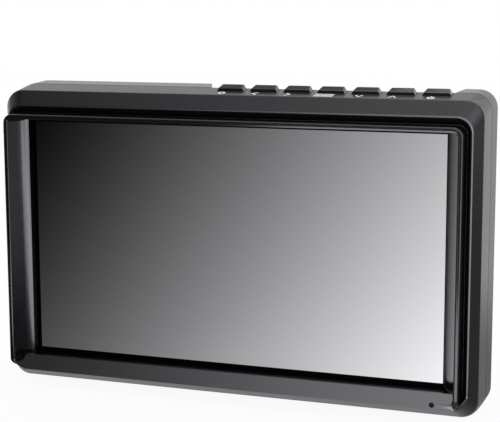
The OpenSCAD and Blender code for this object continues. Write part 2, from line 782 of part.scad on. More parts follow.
// Outer skin of the shell less its cavity
module shell_hull() {
    difference() {
        loft([[body_half, seam_z, 0, corner_r, corner_r, seam_y, seam_y],
              [body_half, shell_z, 0, corner_r, corner_r, shell_edge_y, shell_edge_y],
              [body_half - edge_d * 0.3, shell_z - edge_d * 0.3, edge_d * 0.3, corner_r - 0.3,
               corner_r - 0.3, shell_edge_y + edge_d * 0.7, shell_edge_y + edge_d * 0.7],
              [body_half - edge_d, shell_z - edge_d, edge_d, corner_r - 1, corner_r - 1, back_y, back_y]]);
        slab(cavity_half, cavity_low, cavity_z, cavity_r, seam_y + tongue_step, back_in);
        slab(tongue_in, cavity_low + tongue_play + tongue_t, cavity_z - tongue_play - tongue_t,
             cavity_r - 1, seam_y - cut, seam_y + tongue_step + eps);
    }
}

// Tongue that centres the shell in the front frame, cut away at the keys and at the tripod socket
module tongue() {
    difference() {
        slab(tongue_half, cavity_low + tongue_play, cavity_z - tongue_play, cavity_r - tongue_play,
             seam_y - tongue_d, seam_y + eps);
        slab(tongue_in, cavity_low + tongue_play + tongue_t, cavity_z - tongue_play - tongue_t,
             cavity_r - 1, seam_y - tongue_d - cut, seam_y + cut);
        block([key_board_left - 0.5, seam_y - tongue_d - cut, key_board_low],
              [key_board_right + 0.5, seam_y - eps, seam_z]);
        block([-saddle_half - 0.5, seam_y - tongue_d - cut, 0], [saddle_half + 0.5, seam_y - eps, insert_h]);
    }
}

// Scoop behind the keys: a level floor, a slanting left wall and a ramp at the right
module scoop() {
    floor_z = seam_z - scoop_d;
    high = shell_z + cut;
    ramp_top = floor_z + scoop_d + shell_rise + eps;
    intersection() {
        translate([0, back_y + 2 * cut, 0]) rotate([90, 0, 0]) linear_extrude(back_y)
            polygon([[scoop_left - 2 * scoop_slant, floor_z], [scoop_right, floor_z],
                     [scoop_right + scoop_ramp * 0.25, floor_z + scoop_d * 0.12],
                     [scoop_right + scoop_ramp * 0.75, ramp_top - scoop_d * 0.25],
                     [scoop_right + scoop_ramp, ramp_top], [scoop_right + scoop_ramp, high],
                     [scoop_left - 2 * scoop_slant, high]]);
        translate([0, 0, floor_z - cut]) linear_extrude(4 * cut + scoop_d)
            polygon([[scoop_left, seam_y - cut], [scoop_right + 2 * scoop_ramp, seam_y - cut],
                     [scoop_right + 2 * scoop_ramp, back_y + 3 * cut],
                     [scoop_left - scoop_slant * (1 + edge_d / shell_band_d), back_y + 3 * cut],
                     [scoop_left - scoop_slant, shell_edge_y]]);
    }
}

module socket_cut(z, w, t) {
    block([-body_half - cut, board_back - socket_play, z - w / 2 - socket_play],
          [-tongue_in + cut, board_back + t + socket_play, z + w / 2 + socket_play]);
}

module socket_cuts() {
    socket_cut(power_z, power_w, power_t);
    socket_cut(video_out_z, video_w, video_t);
    socket_cut(video_in_z, video_w, video_t);
    socket_cut(service_z, service_w, service_t);
    socket_cut(audio_z, audio_w, audio_t);
}

// Two banks of cooling slots beside the battery plate
module vents() {
    first_z = board_mid - (vent_count - 1) * vent_pitch / 2;
    for (side = [-1, 1], i = [0:vent_count - 1])
        translate([side * (plate_half + vent_out + vent_l / 2), 0, first_z + i * vent_pitch])
            block([-vent_l / 2, back_in - cut, -vent_w / 2], [vent_l / 2, back_y + cut, vent_w / 2]);
}

module main_board() {
    tab = 2;
    color("#1c5233") difference() {
        union() {
            block([-board_half, board_y, board_low], [board_half, board_back, board_high]);
            block([light_x - tab, board_y, light_z - tab + 0.4], [light_x + tab, board_back, board_low + eps]);
        }
        at_board_screws() rod_y(0, 0, screw_r + screw_play, board_y - cut, board_back + cut);
    }
}

module board_screws() {
    color("#c9ccd0") at_board_screws() screw_y(0, 0, board_y, -1, board_t + board_screw_l);
}

chip_x = 15;
chip_up = 4;
chip_z = board_mid + chip_up;
module video_chip() {
    color("#202022") block([chip_x - chip_w / 2, board_back, chip_z - chip_w / 2],
                           [chip_x + chip_w / 2, board_back + chip_t, chip_z + chip_w / 2]);
}

module heat_pad() {
    color("#9fb4c8") block([chip_x - chip_w / 2, board_back + chip_t, chip_z - chip_w / 2],
                           [chip_x + chip_w / 2, board_back + chip_t + pad_t, chip_z + chip_w / 2]);
}

// Finned aluminium block on the pad
module heat_sink() {
    foot = board_back + chip_t + pad_t;
    base_t = 1;
    fins = 6;
    fin_t = 1;
    gap = (sink_w - fin_t) / (fins - 1);
    color("#b9bcc0") {
        block([chip_x - sink_w / 2, foot, chip_z - sink_w / 2],
              [chip_x + sink_w / 2, foot + base_t, chip_z + sink_w / 2]);
        for (i = [0:fins - 1]) translate([chip_x - sink_w / 2 + i * gap, 0, 0])
            block([0, foot + base_t - eps, chip_z - sink_w / 2], [fin_t, foot + sink_h, chip_z + sink_w / 2]);
    }
}

// Coils and capacitors of the power supply
module power_parts() {
    low = board_low + 14.8;
    coil_x = 30;
    coil_w = 6;
    coil_t = 3;
    can_x = 6;
    can_r = 2.5;
    can_h = 5;
    color("#4a4a4d") {
        for (z = [low, low + coil_w + 2])
            block([-coil_x, board_back, z], [coil_w - coil_x, board_back + coil_t, z + coil_w]);
        for (x = [can_x, can_x + 8]) rod_y(-x, low + coil_w + 2, can_r, board_back, board_back + can_h);
    }
}

// Flat ribbon from the display's tray to the main board
module display_ribbon() {
    low = tray_low + tape_up;
    leg = 6;
    color("#d9d2c4") translate([-tape_x, 0, 0]) rotate([90, 0, 90]) linear_extrude(tape_wide)
        polygon([[tray_back, low], [tray_back + ribbon_t, low], [tray_back + ribbon_t, low + leg],
                 [board_y, low + 2 * leg], [board_y, low + 3 * leg], [board_y - ribbon_t, low + 3 * leg],
                 [board_y - ribbon_t, low + 2 * leg], [tray_back, low + leg]]);
}

module power_inlet() {
    mid = board_back + power_t / 2;
    color("#161618") difference() {
        block([socket_face, board_back, power_z - power_w / 2],
              [socket_face + power_l, board_back + power_t, power_z + power_w / 2]);
        rod_x(mid, power_z, power_r, socket_face - cut, socket_face + pin_l + 0.5);
    }
    color("#c8b273") rod_x(mid, power_z, power_pin_r, socket_face + 1, socket_face + pin_l + 0.5 + eps);
}

// Video socket: a metal shell with two cut corners and a contact tongue in the middle
module video_socket(z) {
    corner = 1.6;
    back_wall_t = 1.2;
    tongue_half_w = video_w / 2 - 2.1;
    inner = [for (p = [[0, video_w / 2], [0, -video_w / 2], [video_t - corner, -video_w / 2],
                       [video_t, corner - video_w / 2], [video_t, video_w / 2 - corner],
                       [video_t - corner, video_w / 2]]) p];
    color("#aeb1b5") translate([socket_face, board_back, z]) difference() {
        rotate([90, 0, 90]) linear_extrude(video_l) polygon(inner);
        translate([-cut, 0, 0]) rotate([90, 0, 90]) linear_extrude(video_l - back_wall_t + cut)
            polygon([[video_wall, video_w / 2 - video_wall], [video_wall, video_wall - video_w / 2],
                     [video_t - corner - 0.2, video_wall - video_w / 2],
                     [video_t - video_wall, corner + 0.2 - video_w / 2],
                     [video_t - video_wall, video_w / 2 - corner - 0.2],
                     [video_t - corner - 0.2, video_w / 2 - video_wall]]);
    }
    color("#1a1a1c") translate([socket_face, board_back, z])
        block([1.5, video_t / 2 - 0.6, -tongue_half_w],
              [video_l - back_wall_t + eps, video_t / 2 + 0.6, tongue_half_w]);
}

module service_socket() {
    inner_wall = 0.35;
    color("#aeb1b5") translate([socket_face, board_back, service_z]) {
        difference() {
            block([0, 0, -service_w / 2], [service_l, service_t, service_w / 2]);
            block([-cut, inner_wall, inner_wall - service_w / 2],
                  [service_l - 0.8, service_t - inner_wall, service_w / 2 - inner_wall]);
        }
        block([1, service_t / 2 - 0.3, 1.6 - service_w / 2],
              [service_l - 0.8 + eps, service_t / 2 + 0.3, service_w / 2 - 1.6]);
    }
}

module headphone_socket() {
    color("#161618") difference() {
        block([socket_face, board_back, audio_z - audio_w / 2],
              [socket_face + audio_l + 1.5, board_back + audio_t, audio_z + audio_w / 2]);
        rod_x(board_back + audio_t / 2, audio_z, audio_r, socket_face - cut, socket_face + audio_l);
    }
}

// Brass insert, held between the two halves by its bar
module tripod_insert() {
    color("#c9a75a") difference() {
        union() {
            rod_z(0, seam_y, insert_r, 0, insert_h);
            block([-insert_bar, seam_y - bar_half_d, insert_z], [insert_bar, seam_y + bar_half_d, insert_h]);
        }
        rod_z(0, seam_y, tripod_r, -cut, tripod_l);
    }
}

module case_screws() {
    length = case_head_y - tray_y + screw_bite;
    color("#55575b") at_case_screws() screw_y(0, 0, case_head_y, 1, length);
}

// Plate that the battery slides down on, with two rails and four hooks
module battery_plate() {
    hook_t = 1;
    hook_y = rail_top - hook_t;
    color("#202023") difference() {
        union() {
            slab(plate_half, plate_low, plate_high, 3, back_y, plate_face);
            for (side = [-1, 1]) {
                block([min(side * rail_in, side * plate_half), plate_face - eps, rail_low],
                      [max(side * rail_in, side * plate_half), rail_top, plate_high - 3]);
                for (z = [rail_low + hook_up, plate_high - hook_down])
                    block([min(side * rail_in, side * (rail_in - hook_w)) - eps, hook_y, z - hook_l / 2],
                          [max(side * rail_in, side * (rail_in - hook_w)) + eps, rail_top, z + hook_l / 2]);
            }
        }
        at_plate_screws() {
            rod_y(0, 0, screw_r + screw_play, back_y - cut, plate_face);
            rod_y(0, 0, head_r + 0.2, plate_head_y, plate_face + cut);
        }
        for (x = [-wire_half, wire_half]) rod_y(x, wire_z, lead_r + lead_play, back_y - cut, plate_face + cut);
        latch_hole(0, back_y - cut, plate_face + cut);
        latch_hole(latch_flange, back_y - cut, pocket_roof_y);
    }
}
plate_head_y = back_y + 2;

// Opening round the latch button, grown by the width of its flange where asked
module latch_hole(grow, y0, y1) {
    w = latch_w / 2 + latch_play + grow;
    h = latch_h / 2 + latch_play + grow;
    block([-w, y0, latch_z - h], [w, y1, latch_z + h]);
}

module plate_screws() {
    color("#c9ccd0") at_plate_screws() screw_y(0, 0, plate_head_y, 1, plate_head_y - back_in + screw_bite);
}

module contact_block() {
    color("#151517") difference() {
        block([-block_half, plate_face, plate_low], [block_half, block_y, plate_low + block_h]);
        for (i = [-1:1]) blade(i);
    }
}

module blade(i) {
    mid = (plate_face + block_y) / 2;
    translate([i * blade_pitch, 0, 0])
        block([-blade_t / 2, mid - blade_d / 2, plate_low + 2],
              [blade_t / 2, mid + blade_d / 2, plate_low + block_h + blade_l]);
}

module battery_contacts() {
    color("#d0a95c") for (i = [-1:1]) blade(i);
}

// Two leads from the contact block through the back wall to the main board
module battery_wires() {
    color("#8c2f2b") for (x = [-wire_half, wire_half]) rod_y(x, wire_z, lead_r, board_back, plate_face);
}

module latch_button() {
    crown = 0.6;
    top = plate_face + latch_up;
    color("#3a3a3f") {
        translate([-latch_w / 2, 0, latch_z]) rotate([90, 0, 90]) linear_extrude(latch_w)
            polygon([[latch_flange_back - eps, -latch_h / 2], [top, -latch_h / 2],
                     [top, latch_h / 2 - 2 * crown], [top - crown, latch_h / 2],
                     [latch_flange_back - eps, latch_h / 2]]);
        block([-latch_w / 2 - latch_flange + 0.2, latch_flange_y, latch_z - latch_h / 2 - latch_flange + 0.2],
              [latch_w / 2 + latch_flange - 0.2, latch_flange_back, latch_z + latch_h / 2 + latch_flange - 0.2]);
    }
}

// Coil spring between the cup in the back wall and the latch's flange, its helix measured on the wire
module latch_spring() {
    steps = 12;
    sides = 6;
    rings = spring_turns * steps;
    rise = latch_flange_y - cup_y - 2 * wire_r;
    points = [for (k = [0:rings], j = [0:sides - 1])
        let (a = 360 * k / steps, b = 360 * j / sides, r = spring_r + wire_r * cos(b))
        [r * cos(a), cup_y + wire_r + rise * k / rings + wire_r * sin(b), latch_z + r * sin(a)]];
    faces = concat(
        [for (k = [0:rings - 1], j = [0:sides - 1])
            let (p = k * sides + j, q = k * sides + (j + 1) % sides)
            each [[p, q + sides, q], [p, p + sides, q + sides]]],
        [[for (j = [0:sides - 1]) j], [for (j = [sides - 1:-1:0]) rings * sides + j]]);
    color("#c4c7cb") polyhedron(points = points, faces = faces, convexity = 10);
}

// Moves the model so that its origin is the mouth of the tripod socket
module seat() {
    translate([0, -seam_y, 0]) children();
}

seat() front_frame();
seat() display_glass();
seat() glass_gasket();
seat() lcd_panel();
seat() backlight_unit();
seat() panel_tray();
seat() tray_screws();
seat() light_pipe();
seat() status_led();
for (i = [0:6]) seat() key_cap(i);
for (i = [0:6]) seat() switch_plunger(i);
seat() key_board();
seat() key_switches();
seat() key_board_screws();
seat() key_ribbon();
seat() rear_shell();
seat() main_board();
seat() board_screws();
seat() video_chip();
seat() heat_pad();
seat() heat_sink();
seat() power_parts();
seat() display_ribbon();
seat() power_inlet();
seat() video_socket(video_out_z);  // video_out_socket
seat() video_socket(video_in_z);  // video_in_socket
seat() service_socket();
seat() headphone_socket();
seat() tripod_insert();
seat() case_screws();
seat() battery_plate();
seat() plate_screws();
seat() contact_block();
seat() battery_contacts();
seat() battery_wires();
seat() latch_button();
seat() latch_spring();
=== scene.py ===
import math

import bmesh
import bpy
import numpy as np
from mathutils import Matrix, Vector


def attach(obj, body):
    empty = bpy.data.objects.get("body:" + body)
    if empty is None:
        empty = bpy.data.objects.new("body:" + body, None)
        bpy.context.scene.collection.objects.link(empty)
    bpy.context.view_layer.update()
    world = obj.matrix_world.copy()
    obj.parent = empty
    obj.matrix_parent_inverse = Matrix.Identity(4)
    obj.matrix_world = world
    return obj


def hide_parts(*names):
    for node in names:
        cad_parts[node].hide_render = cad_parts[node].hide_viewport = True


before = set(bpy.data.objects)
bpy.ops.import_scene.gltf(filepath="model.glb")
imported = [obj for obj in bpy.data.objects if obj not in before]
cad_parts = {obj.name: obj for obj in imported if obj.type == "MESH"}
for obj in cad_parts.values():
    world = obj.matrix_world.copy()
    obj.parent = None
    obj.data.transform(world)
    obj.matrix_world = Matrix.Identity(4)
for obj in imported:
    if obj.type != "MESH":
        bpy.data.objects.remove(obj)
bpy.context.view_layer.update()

# Sizes of the object are in millimetres, as in the part's source: x from the middle, y from the rim's front, z
# from the underside. The frame's y starts at the seam. Places of camera, lamps and floor are in metres.
MM = 0.001
SEAM = 18.33
KEYS = ["function", "left", "right", "menu", "down", "up", "power"]
KEY_PITCH, KEY_FIRST = 9.72, -2.0
SCREWS = [(x, z) for x in (-65.0, 65.0) for z in (4.9, 76.4)]
LIGHT_X, LIGHT_Z = 59.35, 6.1

# Bar under the screen: depth and height of its foot, its height, and where it ends on the left and the right
BAR_FRONT, BAR_FOOT, BAR_HEIGHT = 0.35, 4.9, 4.45
BAR_ENDS = (63, 65.2)
# Lower corners of the rim: height of the left wall's end, depth and height of the right one's step, and its end
LEFT_WALL_END = 9.5
RIGHT_STEP_Y, RIGHT_STEP_Z, RIGHT_WALL_END = 1.28, 9.0, 9.55
# Band in front of the keys: a depth, the height there, and the rise to the back
BAND_Y, BAND_Z, BAND_SLOPE = 12, 86.17, 0.1555
MARK_HALF_WIDTH, MARK_LIFT = 0.28, 0.02
# Heights between which the plastic turns rougher, and each key's slot: half width, front, back, corner radius
ROUGHER_BETWEEN = (85.6, 85.85)
KEY_SLOT = (4.12, 14.08, 17.32, 0.25)

# Socket holes in the left side: height of the middle, width and thickness of each socket
SOCKETS = ((13.6, 9, 6.2), (28.525, 15, 5.6), (46.45, 15, 5.6), (60.625, 7.5, 2.9), (69.8, 5, 5))
SOCKET_FRONT, SOCKET_GAP = 19.1, 0.15
VENTS, VENT_FIRST, VENT_PITCH = 7, 29.9, 3.6

CORNER_STEPS, BEND_STEPS, LONGEST_REACH = 16, 5, 0.45
SAME_POINT, WELD_GAP = 1e-7, 1e-6
SHARP_ANGLE, EDGE_ANGLE, EDGE_STEPS = math.radians(32), math.radians(25), 3

# Camera fitted to the photograph: degrees to the right, above the horizon and of roll, its place, and its focal
# length and the photograph's width in pixels
CAMERA_TURN = (19.91, 9.08, -0.19)
CAMERA_PLACE = (0.13406, -0.36404, 0.11415)
FOCAL_LENGTH, PHOTO_WIDTH = 1379.27, 500
SENSOR_WIDTH = 36

# Looks: where nearly all of a noise lies, the tint of reflections on plastic, the area of the screen's painted
# glow in metres, and the depth that parts the glass's glowing front from its back
NOISE_RANGE = (0.3, 0.7)
ROUGH_SPREAD = 0.035
GLOSS_TINT = (0.93, 0.92, 1.0, 1)
GLOW_HALF_X, GLOW_HALF_Z, GLOW_MIDDLE_Z = 0.0605, 0.0336, 0.0433
GLOW_BEFORE = 9.2
FLOOR_HALF, FLOOR_Z = 1.5, -0.00005
LAMP_LIFT = 0.001


def placed(name, data):
    """New object in the scene."""
    held = bpy.data.objects.new(name, data)
    bpy.context.collection.objects.link(held)
    return held


def stood(place, axes):
    """Matrix that puts an object at a place, with its own x, y and z along the three axes."""
    return Matrix.Translation(place) @ Matrix(axes).transposed().to_4x4()


def place_camera():
    azimuth, elevation, roll = (math.radians(v) for v in CAMERA_TURN)
    back = Vector((math.sin(azimuth) * math.cos(elevation), -math.cos(azimuth) * math.cos(elevation),
                   math.sin(elevation)))
    right = (-back).cross(Vector((0, 0, 1))).normalized()
    up = right.cross(-back)
    across = right * math.cos(roll) + up * math.sin(roll)
    above = up * math.cos(roll) - right * math.sin(roll)
    camera = bpy.data.cameras.new("camera")
    camera.sensor_width = SENSOR_WIDTH
    camera.sensor_fit = "HORIZONTAL"
    camera.lens = FOCAL_LENGTH / PHOTO_WIDTH * SENSOR_WIDTH
    camera.clip_start = 0.01
    held = placed("camera", camera)
    held.matrix_world = stood(CAMERA_PLACE, (across, above, back))
    bpy.context.scene.camera = held


# ---------------------------------------------------------------- surfaces

def grid_faces(rows, columns, ring_rows):
    """Four-cornered faces between neighbours of a grid whose points are numbered row by row. Each row is a ring,
    and with ring_rows the last row joins the first."""
    r = np.arange(rows if ring_rows else rows - 1)[:, None]
    c = np.arange(columns)[None, :]
    r2, c2 = (r + 1) % rows, (c + 1) % columns
    corners = [r * columns + c, r * columns + c2, r2 * columns + c2, r2 * columns + c]
    return np.stack(corners, -1).reshape(-1, 4)


def surface(name, points, ring_rows=False):
    """Mesh over a grid of points in millimetres, shape (rows, columns, 3), moved to the frame. Unless the rows
    form a ring too, its two ends are closed with one face each."""
    rows, columns = points.shape[:2]
    faces = grid_faces(rows, columns, ring_rows).tolist()
    if not ring_rows:
        faces += [list(range(columns))[::-1], list(range((rows - 1) * columns, rows * columns))]
    mesh = bpy.data.meshes.new(name)
    mesh.from_pydata(((points.reshape(-1, 3) - (0, SEAM, 0)) * MM).tolist(), [], faces)
    piece = placed(name, mesh)
    face_outwards(piece)
    return piece


def face_outwards(piece):
    """Merges doubled points and turns every face outwards."""
    work = bmesh.new()
    work.from_mesh(piece.data)
    bmesh.ops.remove_doubles(work, verts=work.verts, dist=SAME_POINT)
    bmesh.ops.recalc_face_normals(work, faces=work.faces)
    work.to_mesh(piece.data)
    work.free()


def eased(t):
    """From 0 to 1, level at both ends."""
    return t * t * (3 - 2 * t)


def rounded_outlines(levels):
    """One rounded rectangle for each row of half width, top, low edge, upper radius, depth, depth at the low
    edge, left and right lower radius, share of mitre, left end and right end. It is made of four quarter circles,
    and over a lower corner the depth eases from the low edge's to the side's. With a share of 1 the left lower
    corner runs from the bar's end back and outwards, and then up the cove's wall. The right one runs up the bar's
    end to a step, and then back along the window's floor. Returns (rows, columns, 3)."""
    w, top, low, rt, y, yl, rl, rr, share, left, right = (c[:, None] for c in levels.T)
    t = np.linspace(0, 1, CORNER_STEPS + 1)[None, :]
    cos, sin = np.cos(t * math.pi / 2), np.sin(t * math.pi / 2)
    round_left, round_right = (np.stack([w - r + r * sin, yl + (y - yl) * ease, low + r - r * cos], -1)
                               for r, ease in ((rl, sin), (rr, eased(t))))
    first, second = np.clip(2 * t, 0, 1), np.clip(2 * t - 1, 0, 1)
    ends_left = np.stack([left + (w - left) * first, yl + (y - yl) * first,
                          low + (LEFT_WALL_END - low) * second], -1)
    step_z = np.maximum(low, RIGHT_STEP_Z)
    ends_right = np.stack([right + (w - right) * second,
                           yl + (RIGHT_STEP_Y - yl) * first + (y - RIGHT_STEP_Y) * second,
                           low + (step_z - low) * first + (RIGHT_WALL_END - step_z) * second], -1)
    share = share[..., None]
    left_low = round_left + (ends_left - round_left) * share
    right_low = round_right + (ends_right - round_right) * share
    right_top = np.stack([w - rt + rt * cos, y + 0 * t, top - rt + rt * sin], -1)
    mirror = np.array([-1, 1, 1])
    return np.concatenate([right_low, right_top, right_top[:, ::-1] * mirror, left_low[:, ::-1] * mirror], 1)


def softened(levels, reach, ring):
    """Rounds the bends of the path through the levels: each level gives way to a quadratic curve, from the point
    `reach` before it to the point `reach` after it, with the level itself as control point. Half width, top and
    depth, in columns 0, 1 and 4, say how far apart two levels are."""
    before, after = np.roll(levels, 1, 0), np.roll(levels, -1, 0)

    def share(other):
        far = np.linalg.norm((other - levels)[:, [0, 1, 4]], axis=1)
        return np.where(far > 0, np.minimum(reach / np.maximum(far, 1e-9), LONGEST_REACH), 0)[:, None]

    start, end = levels + (before - levels) * share(before), levels + (after - levels) * share(after)
    t = np.linspace(0, 1, BEND_STEPS)[None, :, None]
    path = start[:, None] * (1 - t) ** 2 + levels[:, None] * 2 * t * (1 - t) + end[:, None] * t ** 2
    if not ring:
        path[0], path[-1] = levels[0], levels[-1]
    return path.reshape(-1, levels.shape[1])


def prism(name, outline, low, high, along):
    """A flat outline, given as (n, 2) points, carried straight along one axis from low to high."""
    a, b = outline.T
    rows = []
    for at in (low, high):
        c = np.full(len(outline), float(at))
        rows.append(np.stack({"x": (c, a, b), "y": (a, c, b), "z": (a, b, c)}[along], -1))
    return surface(name, np.array(rows))


def box_outline(x0, z0, x1, z1, r=0.0, steps=4):
    """Rectangle, with quarter circles of radius r at its corners."""
    if not r:
        return np.array([(x0, z0), (x1, z0), (x1, z1), (x0, z1)])
    a = np.concatenate([np.linspace(q, q + 90, steps + 1) for q in (0, 90, 180, 270)]) * math.pi / 180
    cx = np.repeat([x1 - r, x0 + r, x0 + r, x1 - r], steps + 1)
    cz = np.repeat([z1 - r, z1 - r, z0 + r, z0 + r], steps + 1)
    return np.stack([cx + r * np.cos(a), cz + r * np.sin(a)], -1)


def turned(name, x, z, profile, steps=48, along="y"):
    """Profile of (radius, place along the axis) pairs turned a full circle about an axis through (x, z)."""
    a = np.linspace(0, 2 * math.pi, steps, endpoint=False)[None, :]
    r, at = (np.asarray(profile, float)[:, i][:, None] for i in (0, 1))
    u, v, w = x + r * np.cos(a), z + r * np.sin(a), at + 0 * a
    return surface(name, np.stack({"x": (w, u, v), "y": (u, w, v), "z": (u, v, w)}[along], -1))


def joined(pieces, name):
    """One object that holds several meshes."""
    work = bmesh.new()
    for piece in pieces:
        work.from_mesh(piece.data)
    mesh = bpy.data.meshes.new(name)
    work.to_mesh(mesh)
    work.free()
    for piece in pieces:
        bpy.data.meshes.remove(piece.data)
    return placed(name, mesh)


def combined(piece, tools, how):
    """Cuts the tools out of the piece, or welds them to it, and removes the tools."""
    tool = joined(tools, piece.name + "_tool")
    step = piece.modifiers.new("cut", "BOOLEAN")
    step.operation, step.object, step.solver = how, tool, "EXACT"
    made = bpy.data.meshes.new_from_object(piece.evaluated_get(bpy.context.evaluated_depsgraph_get()))
    piece.modifiers.clear()
    old, piece.data = piece.data, made
    made.name = piece.name
    bpy.data.meshes.remove(old)
    bpy.data.meshes.remove(tool.data)


def smooth_shaded(piece):
    """Smooth shading, with sharp edges between faces at a clear angle and with flat faces kept flat."""
    piece.data.shade_smooth()
    piece.data.set_sharp_from_angle(angle=SHARP_ANGLE)
    weigh = piece.modifiers.new("normals", "WEIGHTED_NORMAL")
    weigh.keep_sharp = True
    weigh.weight = 60


def dressed(pieces, material):
    """Gives pieces one material in place of their own."""
    for piece in pieces:
        piece.data.materials.clear()
        piece.data.materials.append(material)


def finished(piece, material, nodes=()):
    """Gives a new piece its material, sets it on the monitor's body, and hides the CAD pieces it takes the place of.
    """
    dressed([piece], material)
    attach(piece, "monitor")
    if nodes:
        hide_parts(*nodes)


# ---------------------------------------------------------------- materials

def wires(tree):
    """Short ways to fill in and add nodes of one tree. plug() gives inputs a value or a link: i0, i1 and so on
    name an input by its number, other words by its name with underscores for spaces. node() adds a node, with p_
    before the names of its properties. calc() adds a Math node."""
    def plug(made, **inputs):
        for key, value in inputs.items():
            by_number = key[0] == "i" and key[1:].isdigit()
            socket = made.inputs[int(key[1:]) if by_number else key.replace("_", " ")]
            if isinstance(value, bpy.types.NodeSocket):
                tree.links.new(value, socket)
            else:
                socket.default_value = value

    def node(kind, **given):
        made = tree.nodes.new(kind)
        for key in [k for k in given if k.startswith("p_")]:
            setattr(made, key[2:], given.pop(key))
        plug(made, **given)
        return made

    def calc(operation, a, b=None, c=None, clamp=False):
        values = {"i%d" % i: v for i, v in enumerate((a, b, c)) if v is not None}
        return node("ShaderNodeMath", p_operation=operation, p_use_clamp=clamp, **values).outputs[0]

    return node, calc, plug


def new_material(name):
    """Material with its shader node and the three ways to wire it."""
    material = bpy.data.materials.new(name)
    material.use_nodes = True
    tree = material.node_tree
    return material, tree.nodes["Principled BSDF"], *wires(tree)


def between(node, value, start, end, low=0.0, high=1.0, how="SMOOTHSTEP"):
    """Level that goes from low at start to high at end, level at both ends unless how is LINEAR."""
    return node("ShaderNodeMapRange", Value=value, From_Min=start, From_Max=end, To_Min=low, To_Max=high,
                p_interpolation_type=how).outputs["Result"]


def mixed(node, factor, first, second):
    """Colour from the first to the second."""
    mix = node("ShaderNodeMix", p_data_type="RGBA", Factor=factor)
    mix.inputs["A"].default_value, mix.inputs["B"].default_value = first, second
    return next(o for o in mix.outputs if o.type == "RGBA")


def noise(node, place, scale, detail, rough):
    return node("ShaderNodeTexNoise", Vector=place, Scale=scale, Detail=detail, Roughness=rough).outputs["Fac"]


def bumped(node, height, strength, depth):
    """Normals of a relief that is `depth` millimetres deep."""
    return node("ShaderNodeBump", Height=height, Strength=strength, Distance=depth * MM).outputs["Normal"]


def moulded(name, colour, rough, grain=3200, depth=0.006, vary=0.12, specular=0.5, top_rough=0.0):
    """Moulded plastic: a fine spark-eroded grain in bump and roughness, and a slow drift of its shade. On the
    band that the keys stand in it is rougher by top_rough."""
    material, shader, node, calc, plug = new_material(name)
    place = node("ShaderNodeTexCoord").outputs["Object"]
    fine = noise(node, place, grain, 3.0, 0.6)
    slow = noise(node, place, 45.0, 4.0, 0.55)
    dark, light = (tuple(c * (1 + change) for c in colour) + (1,) for change in (-vary, vary))
    spread = between(node, fine, *NOISE_RANGE, rough - ROUGH_SPREAD, rough + ROUGH_SPREAD, "LINEAR")
    if top_rough:
        height = node("ShaderNodeSeparateXYZ", Vector=place).outputs["Z"]
        start, end = (z * MM for z in ROUGHER_BETWEEN)
        spread = calc("ADD", spread, between(node, height, start, end, 0.0, top_rough, "LINEAR"))
    plug(shader, Base_Color=mixed(node, slow, dark, light), Roughness=spread, Normal=bumped(node, fine, 0.25, depth),
         Specular_IOR_Level=specular, Specular_Tint=GLOSS_TINT)
    return material


def metal(name, colour, rough):
    """Metal with a fine mottle in shade, roughness and bump."""
    material, shader, node, _, plug = new_material(name)
    marks = noise(node, node("ShaderNodeTexCoord").outputs["Object"], 900, 4.0, 0.65)
    dark, light = (tuple(min(1, c * factor) for c in colour) + (1,) for factor in (0.8, 1.1))
    plug(shader, Base_Color=mixed(node, marks, dark, light), Normal=bumped(node, marks, 0.2, 0.005), Metallic=1.0,
         Roughness=between(node, marks, *NOISE_RANGE, rough * 0.75, rough * 1.3, "LINEAR"))
    return material


def painted_glow_screen():
    """Screen glass: black printed border, and a painted glow, a plain gradient that goes from black at the upper
    left to white at the lower right. Level = 0.4905 + 0.3345 x' - 0.131 z', with x' and z' from -1 to 1 over the
    glowing area, plus a faint ripple of cells, taken from display levels to light by ((level + 0.055) / 1.055) ^
    2.4."""
    material, shader, node, calc, plug = new_material("screen_glass")
    place = node("ShaderNodeTexCoord").outputs["Object"]
    apart = node("ShaderNodeSeparateXYZ", Vector=place)
    x = calc("MULTIPLY", apart.outputs["X"], 1 / GLOW_HALF_X)
    z = calc("MULTIPLY_ADD", apart.outputs["Z"], 1 / GLOW_HALF_Z, -GLOW_MIDDLE_Z / GLOW_HALF_Z)
    level = calc("MULTIPLY_ADD", x, 0.3345, 0.4905)
    level = calc("MULTIPLY_ADD", z, -0.131, level)
    cell = node("ShaderNodeTexWave", Vector=place, Scale=1700.0, p_bands_direction="X").outputs["Fac"]
    level = calc("MULTIPLY_ADD", cell, 0.006, level)
    light = calc("POWER", calc("MULTIPLY_ADD", level, 1 / 1.055, 0.055 / 1.055, clamp=True), 2.4)
    inside = calc("MULTIPLY", *(calc("LESS_THAN", calc("ABSOLUTE", v), 1.0) for v in (x, z)))
    front = calc("LESS_THAN", apart.outputs["Y"], (GLOW_BEFORE - SEAM) * MM)
    painted_glow_amount = calc("MULTIPLY", calc("MULTIPLY", inside, front), calc("MAXIMUM", light, 0.0))
    tint = node("ShaderNodeCombineColor", **{colour: calc("MULTIPLY", painted_glow_amount, factor) for colour, factor in (
        ("Red", 0.985), ("Green", 0.978), ("Blue", 1.01))}).outputs[0]
    smudge = noise(node, place, 60.0, 5.0, 0.6)
    # Painted glow: the glass gives off this gradient as light of its own.
    plug(shader, Emission_Color=tint, Emission_Strength=1.0,
         Base_Color=mixed(node, inside, (0.0012, 0.0012, 0.0014, 1), (0.003, 0.003, 0.0035, 1)),
         Roughness=between(node, smudge, *NOISE_RANGE, 0.16, 0.24, "LINEAR"), Specular_IOR_Level=0.02)
    return material


# ---------------------------------------------------------------- pieces

